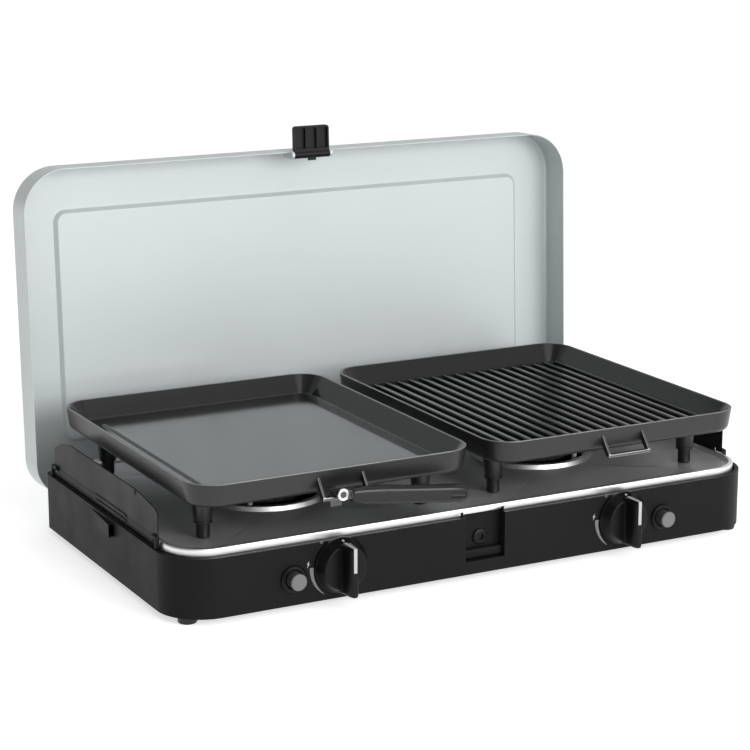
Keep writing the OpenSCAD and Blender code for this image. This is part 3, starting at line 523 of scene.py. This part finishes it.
def pan(inner):
    """Outer wall, rim and inner wall in one sheet; inner is the floor's profile after the wall."""
    outer = [(60, 0), (3.1, 0), (0.1, RIM - 0.12), (2.9, RIM - 0.12), (15, 4)]
    radii = [0, 6, 0.7, 0.7, 2.2]
    profile = fillet(outer + inner[0], radii + inner[1], 5)
    return loft([plate_ring(i, z) for i, z in profile])


def leg(x, y):
    profile = fillet([(14.5, 0.6), (10.3, 0.1), (7.9, -24), (0, -24)], [0, 2.5, 0.9, 0], 4)
    return moved(revolve(profile, 40, cap_first=True), Matrix.Translation((x, y, 0)))


def rib(x, half):
    section = fillet([(-3.6, 3.6), (-2.5, 9), (2.5, 9), (3.6, 3.6)], [0, 1.6, 1.6, 0], 4)
    rings = []
    for y, lift in ((-half, 0.0), (-half + 0.8, 0.45), (-half + 2.6, 0.86), (-half + 5, 1.0), (0, 1.0),
                    (half - 5, 1.0), (half - 2.6, 0.86), (half - 0.8, 0.45), (half, 0.0)):
        rings.append([(x + a * (0.7 + 0.3 * lift), y, 3.6 + (z - 3.6) * lift) for a, z in section])
    return loft(rings)


def make_plate(side, name):
    at = BASE @ Matrix.Translation((side * BURNER_X, PLATE_Y, PLATE_Z))
    legs = [leg(x, y) for x in (-LEG_X, LEG_X) for y in (-LEG_Y, LEG_Y)]
    if name == "griddle":
        part = joined(pan(([(28.5, 4), (31.5, 5.6), (70, 5.6)], [2, 2, 0])), *legs)
    else:
        ribs = [rib((i - (RIBS - 1) / 2) * RIB_PITCH, RIB_HALF) for i in range(RIBS)]
        part = joined(pan(([(70, 4)], [0])), *legs, *ribs)
    centre = at.translation

    def cooking_side(bm):
        """Gives the inner walls, floor and ribs the smoother cooking face."""
        for f in bm.faces:
            p = f.calc_center_median() / MM - centre
            inward = f.normal.x * p.x + f.normal.y * p.y < -0.1
            if p.z > 3 and (inward or (abs(p.x) < 118 and abs(p.y) < 145)):
                f.material_index = 1

    casting = piece(name + "_casting", part, "plate_coating", name, "plate_coating", (name + "_plate",), at,
                    edit=cooking_side)
    casting.data.materials.append(look("cooking_face"))
    # A lighter metal band along the rim's top: bare metal and painted highlight.
    edge = fillet([(0.35, RIM - 0.6), (0.35, RIM), (1.25, RIM), (1.25, RIM - 0.6)], [0, 0.3, 0.3, 0], 3)
    piece(name + "_rim_edge", loft([plate_ring(i, z) for i, z in edge], wrap=True), "bare_rim_and_highlight", name, "plate_coating",
          (), at)
    # The bracket's rounded edges take bright metal: wear and painted highlight.
    softened(name + "_bracket", "dark_steel", "chrome", 0.7, 2, edge_mat="wear_and_edge_highlight")
    softened(name + "_feet", "rubber", "rubber", 0.5, 3)


# ---------- hob ----------

NOTCH_HALF, SLIT_HALF = 19.5, 22.5
RIM_CUTS = (*range(-240, -29, 30), -SLIT_HALF, -NOTCH_HALF, 0, NOTCH_HALF, SLIT_HALF, *range(30, 241, 30))
BACK_CUTS = tuple(range(270, -271, -30))
DISH_HALF, DISH_FRONT, DISH_BACK = 102, -133, 121


def hob_ring(inset, z):
    r_low, r_high = FRONT_R - inset, max(BACK_R - inset, 1.2)
    return [(x, y, z) for x, y in plan_ring(-SIDE + inset, SIDE - inset, FRONT + inset, BACK - inset, r_low, r_high,
                                            seg=12, cuts_low=RIM_CUTS, cuts_high=BACK_CUTS, side=8)]


def deck_height(x, y, crease):
    """Flat deck with a shallow four-sided dish round each burner; crease is 1 on the fold lines."""
    depth = min(DISH_HALF - abs(abs(x) - BURNER_X), y - DISH_FRONT, DISH_BACK - y)
    depth = (depth + math.hypot(depth, 4)) / 2
    return DECK - 4 * min(depth / 58, 1) - 0.45 * crease * min(depth / 8, 1)


def walk(path, shares):
    """Points at the given shares of a polyline's length."""
    steps = [math.dist(a, b) for a, b in zip(path, path[1:])]
    total, out = sum(steps), []
    for share in shares:
        left, i = share * total, 0
        while i < len(steps) - 1 and left > steps[i]:
            left -= steps[i]
            i += 1
        t = min(left / max(steps[i], 1e-9), 1)
        (ax, ay), (bx, by) = path[i], path[i + 1]
        out.append((ax + (bx - ax) * t, ay + (by - ay) * t))
    return out


def half_deck(side):
    """One half of the pressed deck: outline, dish whose folds run at 45 degrees, and the burner's collar."""
    tuck = 11.6
    x1, y0, y1, r = SIDE - tuck, FRONT + tuck, BACK - tuck, FRONT_R - tuck
    outline = [[(0, y0), (x1 - r, y0)] + bend(x1 - r, y0 + r, r, 270, 315),
               bend(x1 - r, y0 + r, r, 315, 360) + [(x1, y1)], [(x1, y1), (0, y1)], [(0, y1), (0, y0)]]
    lo, hi = BURNER_X - DISH_HALF, BURNER_X + DISH_HALF
    corners = [(lo, DISH_FRONT), (hi, DISH_FRONT), (hi, DISH_BACK), (lo, DISH_BACK)]
    ring_r = 62

    def fold_angle(x, y):
        gap = abs(y) - DISH_HALF
        reach = (-gap + math.sqrt(2 * ring_r ** 2 - gap ** 2)) / 2
        return math.degrees(math.atan2(math.copysign(reach + gap, y), math.copysign(reach, x - BURNER_X)))

    turns = [fold_angle(*c) for c in corners]
    shares = [0, 0.012, 0.03, 0.06] + [0.1 + 0.8 * k / 16 for k in range(17)] + [0.94, 0.97, 0.988]
    outer, ridge, angles = [], [], []
    for i in range(4):
        a, b = corners[i], corners[(i + 1) % 4]
        start, end = turns[i], turns[(i + 1) % 4]
        while end < start:
            end += 360
        outer += walk(outline[i], shares)
        ridge += [(a[0] + (b[0] - a[0]) * t, a[1] + (b[1] - a[1]) * t) for t in shares]
        angles += [math.radians(start + (end - start) * t) for t in shares]
    fold = [1 if k % len(shares) == 0 else 0 for k in range(len(ridge))]

    def on_circle(radius, z):
        return [(side * (BURNER_X + radius * math.cos(a)), radius * math.sin(a), z) for a in angles]

    rings = [[(side * x, y, DECK - 0.05) for x, y in outer]]
    circle = [(BURNER_X + ring_r * math.cos(a), ring_r * math.sin(a)) for a in angles]
    for t in (-0.9, -0.6, -0.3, -0.1, 0, 0.03, 0.07, 0.12, 0.2, 0.3, 0.4, 0.5, 0.6, 0.7, 0.8, 0.9, 1):
        ring = []
        for o, p, c, crease in zip(outer, ridge, circle, fold):
            a, b, share = (p, c, t) if t >= 0 else (p, o, -t)
            x, y = a[0] + (b[0] - a[0]) * share, a[1] + (b[1] - a[1]) * share
            ring.append((side * x, y, deck_height(x, y, crease if t > 0 else 0)))
        rings.append(ring)
    collar = fillet([(62, WELL), (58.4, WELL), (57, 62.4), (54.2, 62.4), (52.5, 58), (50.2, 56)],
                    [0, 2.2, 0.9, 0.9, 1.2, 0], 4)
    rings += [on_circle(radius, z) for radius, z in collar[1:]]
    return loft(rings, False, False)


def make_hob():
    profile = fillet([(6, 56.4), (6, 60.6), (6, 62.6), (6, CREST), (10.2, CREST), (11, DECK), (13, DECK)],
                     [0, 0, 0, 1.6, 1.4, 1, 0], 4)
    rim = loft([hob_ring(i, z) for i, z in profile], False, False)

    def notch(bm):
        """Opens the band's foot over the latch pocket, a little higher at both ends."""
        gone = []
        for f in bm.faces:
            at = f.calc_center_median() / MM
            top = 62.6 if abs(at.x) > NOTCH_HALF else 60.6
            if at.y < BASE_Y + FRONT + 7.5 and abs(at.x) < SLIT_HALF and at.z < top:
                gone.append(f)
        bmesh.ops.delete(bm, geom=gone, context="FACES")

    piece("hob_rim_band", rim, "rim_polish", "base", "hob_steel", (), thickness=1.2, edit=notch)
    piece("hob_pressing", joined(half_deck(-1), half_deck(1)), "hob_steel", "base", "hob_steel", ("hob_plate",),
          thickness=0.9)


# ---------- base ----------

def make_base():
    softened("base_housing", "painted_steel", "painted_steel", 0.5, 3)
    softened("base_floor", "painted_steel", "painted_steel", 0.3)
    softened("catch_bar", "painted_steel", "painted_steel", 0.4)
    softened("pocket_bolt", "black_plastic", "black_plastic", 0.4, 2)
    softened("rubber_feet", "rubber", "rubber", 0.5, 3)
    softened("gas_inlet", "brass", "brass", 0.3)
    softened("inlet_nut", "brass", "brass", 0.3)
    softened("hinge_brackets", "zinc_steel", "zinc_steel", 0.3)
    softened("shield_pivots", "shield_paint", "shield_paint", 0.3)
    for node in ("foot_screws", "hinge_pins", "gas_manifold", "supply_pipe", "mixing_tube_left", "mixing_tube_right",
                 "manifold_bracket"):
        carried(node, "zinc_steel")
    for node in ("gas_jets", "valve_body_left", "valve_body_right", "valve_stem_left", "valve_stem_right"):
        carried(node, "brass")
    for node in ("igniter_body_left", "igniter_body_right"):
        carried(node, "black_plastic")
    for node in ("spark_electrode_left", "spark_electrode_right"):
        carried(node, "ceramic")
    for node in ("ignition_lead_left", "ignition_lead_right"):
        carried(node, "lead_sleeve")


def make_burner(side, name):
    """Cast head with a crown of flame ports, its cap, and the polished ring round it."""
    at = BASE @ Matrix.Translation((side * BURNER_X, 0, 0))
    n, ports = 288, 48
    body = [(0, 7.2), (12, 7.2), (12, 24.2), (20, 24.2), (20, 48.2), (38, 60), (38, 68), (35, 68), (35, 61),
            (17, 48.2), (17, 27.2), (0, 27.2)]
    profile = fillet(body, [0, 1, 3, 2, 6, 2, 0.6, 0.6, 2, 2, 2, 0], 4)
    rings = []
    for r, z in profile:
        ring = []
        for k in range(n):
            slot_here = (k * ports // n) % 2 == 0 and z > 64.5 and r > 34
            rr = r - 2.0 if slot_here and r > 37 else r
            a = 2 * math.pi * k / n
            ring.append((rr * math.cos(a), rr * math.sin(a), z))
        rings.append(ring)
    piece("burner_head_" + name, loft(rings, False, False), "burner_iron", "base", "burner_iron",
          ("burner_body_" + name,), at, angle=40)
    cap = fillet([(0, 66.5), (34.8, 66.5), (34.8, 68), (36.6, 68), (36.6, 69.6), (31, 71.1), (0, 71.1)],
                 [0, 0.3, 0.2, 0.4, 0.8, 3, 0], 4)
    piece("burner_lid_" + name, revolve(cap, 96), "burner_iron", "base", "burner_iron", ("burner_cap_" + name,), at)
    ring = fillet([(59.1, 58.2), (57.8, 62.9), (54.0, 62.9), (52.8, 58.2)], [0.3, 1.2, 1.0, 0.3], 4)
    piece("burner_ring_" + name, revolve(ring, 128, wrap=True), "rim_polish", "base", "hob_steel", (), at)


# ---------- controls ----------

def outward(x, z):
    """Frame on the front panel: local z points out of it, local y up."""
    return BASE @ Matrix.Translation((x, FRONT, z)) @ Matrix.Rotation(math.radians(90), 4, "X")


def strip(path, half, thick):
    """A flat band along a path of (y, z) points, half wide to each side in x."""
    rings = []
    for i, (y, z) in enumerate(path):
        a, b = Vector(path[max(i - 1, 0)]), Vector(path[min(i + 1, len(path) - 1)])
        along = (b - a).normalized()
        ny, nz = -along.y * thick, along.x * thick
        rings.append([(-half, y, z), (half, y, z), (half, y + ny, z + nz), (-half, y + ny, z + nz)])
    return loft(rings)


def make_knob(side, name):
    at = outward(side * KNOB_X, KNOB_Z)
    body = name + "_knob"
    skirt = fillet([(0, 0.8), (25, 0.8), (25, 2.5), (24.2, 3.4), (19.9, 12.2), (18, 12.2), (0, 12.4)],
                   [0, 0.4, 0.5, 0.5, 1.6, 0.5, 0], 4)
    bar = []
    for half, long, depth in ((6.8, 21.2, 7.5), (6.5, 21.6, 11.6), (5.8, 21.8, 13.0), (5.1, 21.9, 14.6), (4.7, 22, 17),
                              (4.5, 22, 22), (4.2, 22, 25.2), (3.0, 22, 28.2), (2.5, 21.85, 28.8),
                              (2.1, 21.5, 29.05), (1.7, 20.9, 29.15)):
        corner = min(half, 2.2)
        bar.append([(x, y, depth) for x, y in plan_ring(-half, half, -long, long, corner, corner, seg=5, side=3)])
    piece("knob_body_" + name, joined(revolve(skirt, 96), loft(bar)), "black_plastic", body, "black_plastic",
          ("knob_" + name,), at)
    path = fillet([(22.08, 9.2), (22.08, 29.24), (0.4, 29.24)], [0, 1.1, 0], 6)
    piece("knob_pointer_" + name, strip(path, 1.55, 0.4), "print_white", body, "grey_plastic", (), at)
    dot = moved(revolve(fillet([(0, 0.35), (1.15, 0.3), (1.25, -0.4), (0, -0.4)], [0, 0.2, 0, 0], 3), 20),
                Matrix.Translation((0, 23.0, 6.0)) @ Matrix.Rotation(math.radians(-62), 4, "X"))
    piece("knob_dot_" + name, dot, "print_white", body, "grey_plastic", (), at)


def make_button(side, name):
    at = outward(side * BUTTON_X, BUTTON_Z)
    ring = fillet([(7.7, -12), (7.7, 1.6), (8.6, 3), (10.6, 3), (12, 1.8), (12, 0), (9, 0), (9, -17)],
                  [0, 0.5, 0.4, 0.8, 0.8, 0, 0, 0], 4)
    piece("button_bezel_" + name, revolve(ring, 72, wrap=True), "black_plastic", "base", "black_plastic",
          ("igniter_bezel_" + name,), at)
    # The stem is painted darker than the cap: painted shade on the button's side.
    stem = fillet([(0, -11), (7.3, -11), (7.3, 10.4), (0, 10.4)], [0, 0.3, 0.3, 0], 3)
    piece("button_stem_" + name, revolve(stem, 64), "painted_shade_and_highlight", name + "_button", "grey_plastic",
          ("button_" + name,), at)
    cap = fillet([(0, 9.8), (7.0, 9.8), (7.4, 10.3), (7.4, 11.2), (6.7, 12), (0, 12)], [0, 0.2, 0.2, 0.4, 0.5, 0], 3)
    piece("button_cap_" + name, revolve(cap, 64), "grey_plastic", name + "_button", "grey_plastic", (), at)


def flat_mark(name, outline, x, z, mat="print_grey"):
    piece(name, prism(outline, -0.05, 0.07), mat, "base", "grey_plastic", (), outward(x, z))


def make_marks(side, name):
    """Flame scale beside each knob: a tapering arc, a spark and a small off ring."""
    arc = []
    for k in range(25):
        a = math.radians(178 + 60 * k / 24)
        arc.append((math.cos(a) * 29.0, math.sin(a) * 29.0))
    for k in range(24, -1, -1):
        a = math.radians(178 + 60 * k / 24)
        r = 29.0 - 3.6 * (1 - k / 24) ** 0.8 - 0.3
        arc.append((math.cos(a) * r, math.sin(a) * r))
    flat_mark("flame_scale_" + name, arc, side * KNOB_X, KNOB_Z)
    spark = [(1.0, 3.4), (-1.4, 0.2), (-0.1, 0.3), (-1.2, -3.2), (1.5, 0.7), (0.2, 0.7)]
    flat_mark("spark_mark_" + name, [(x - 30.4, y + 4.2) for x, y in spark], side * KNOB_X, KNOB_Z, "print_white")
    ring = [(math.cos(math.radians(t)) * r - 17.5, math.sin(math.radians(t)) * r + 22.6) for r, ts in
            ((1.4, range(0, 360, 20)), (0.8, range(340, -20, -20))) for t in ts]
    flat_mark("off_mark_" + name, ring, side * KNOB_X, KNOB_Z)


# ---------- wind shields ----------

def make_shields():
    for side, name in ((-1, "left"), (1, "right")):
        softened("shield_" + name, "shield_paint", "shield_paint", 0.28, 2)
        low, high = cad_mm("shield_" + name)
        x = side * 292.9
        rings = []
        for y in (-40, -38, -20, 0, 20, 34, 36):
            grow = 0.2 if y in (-40, 36) else 1.0
            rings.append([(x - side * 0.3, y, 64 + 1.6 * grow), (x + side * 1.1 * grow, y, 64 + 1.0 * grow),
                          (x + side * 1.1 * grow, y, 64 - 1.0 * grow), (x - side * 0.3, y, 64 - 1.6 * grow)])
        upper = moved(loft(rings), Matrix.Translation((0, 0, 4.4)))
        piece("shield_spring_" + name, joined(loft(rings), upper), "shield_paint", name + "_shield", "shield_paint",
              (), BASE, edge=0.3, steps=2)


# ---------- plate handle ----------

def make_handle():
    softened("handle_hook", "dark_steel", "chrome", 0.35, 3)
    face = outward(HOOK_X, RIVET_Z)
    ring = fillet([(0, 14), (2.5, 14), (2.5, 17.4), (5.3, 17.4), (5.3, 18.35), (3.8, 18.35), (3.5, 17.7), (0, 17.6)],
                  [0, 0.2, 0, 0.1, 0.5, 0.4, 0, 0], 4)
    piece("rivet_washer", revolve(ring, 64), "chrome", "hook", "chrome", ("handle_rivet",), face)
    head = fillet([(0, 17.5), (3.1, 17.5), (2.7, 18.1), (0, 18.35)], [0, 0.1, 0.5, 0], 4)
    piece("rivet_head", revolve(head, 48), "dark_steel", "hook", "chrome", (), face)
    carried("handle_tang", "chrome")
    rings = []
    for x, tall, thick in ((6.4, 9.0, 7.6), (7.2, 11.0, 9.6), (9.5, 12.4, 10.9), (17, 14.2, 11.6), (34, 15.9, 12),
                           (60, 15.4, 11.8), (86, 15.4, 11.9), (102, 16, 12), (112, 15.6, 11.8),
                           (117.5, 13.6, 10.9), (120.8, 10.4, 9.0), (122.4, 6.6, 6.2), (122.95, 2.6, 2.6)):
        ring = []
        for k in range(40):
            a = 2 * math.pi * k / 40
            c, s = math.cos(a), math.sin(a)
            power = 2 / 3.2
            ring.append((x, -176.5 + math.copysign(abs(c) ** power, c) * thick / 2,
                         math.copysign(abs(s) ** power, s) * tall / 2))
        rings.append(ring)
    grip = piece("grip_moulding", loft(rings), "grip_plastic", "grip", "grip_plastic", ("handle_grip",), GRIP)
    hollow = []
    for grow, depth in ((0.6, -1), (0, 0.3), (-0.5, 1.4), (-1.4, 2.0)):
        hollow.append([(x, -182.5 + depth, z) for x, z in plan_ring(101 - grow, 118 + grow, -2.6 - grow, 2.6 + grow,
                                                                    2.5 + grow, 2.5 + grow, seg=6, side=2)])
    carve(grip, loft(hollow), GRIP)


def carve(obj, part, at):
    """Takes the part's shape out of obj's mesh."""
    mesh = bpy.data.meshes.new("cutter")
    mesh.from_pydata([tuple((at @ Vector(v)) * MM) for v in part[0]], [], part[1])
    bm = bmesh.new()
    bm.from_mesh(mesh)
    bmesh.ops.recalc_face_normals(bm, faces=bm.faces)
    bm.to_mesh(mesh)
    bm.free()
    cutter = bpy.data.objects.new("cutter", mesh)
    scene.collection.objects.link(cutter)
    cut = obj.modifiers.new("cut", "BOOLEAN")
    cut.operation, cut.solver, cut.object = "DIFFERENCE", "EXACT", cutter
    order = obj.modifiers.find("cut")
    obj.modifiers.move(order, 0)
    view = bpy.context.view_layer
    view.update()
    for other in obj.modifiers:
        if other.name != "cut":
            other.show_viewport = False
    result = bpy.data.meshes.new_from_object(obj.evaluated_get(bpy.context.evaluated_depsgraph_get()))
    obj.modifiers.remove(cut)
    for other in obj.modifiers:
        other.show_viewport = True
    obj.data = result
    result.shade_smooth()
    result.set_sharp_from_angle(angle=math.radians(35))
    bpy.data.objects.remove(cutter)


make_lid()
make_plate(-1, "griddle")
make_plate(1, "grill")
make_hob()
make_base()
make_shields()
make_handle()
for side, name in ((-1, "left"), (1, "right")):
    make_burner(side, name)
    make_knob(side, name)
    make_button(side, name)
    make_marks(side, name)
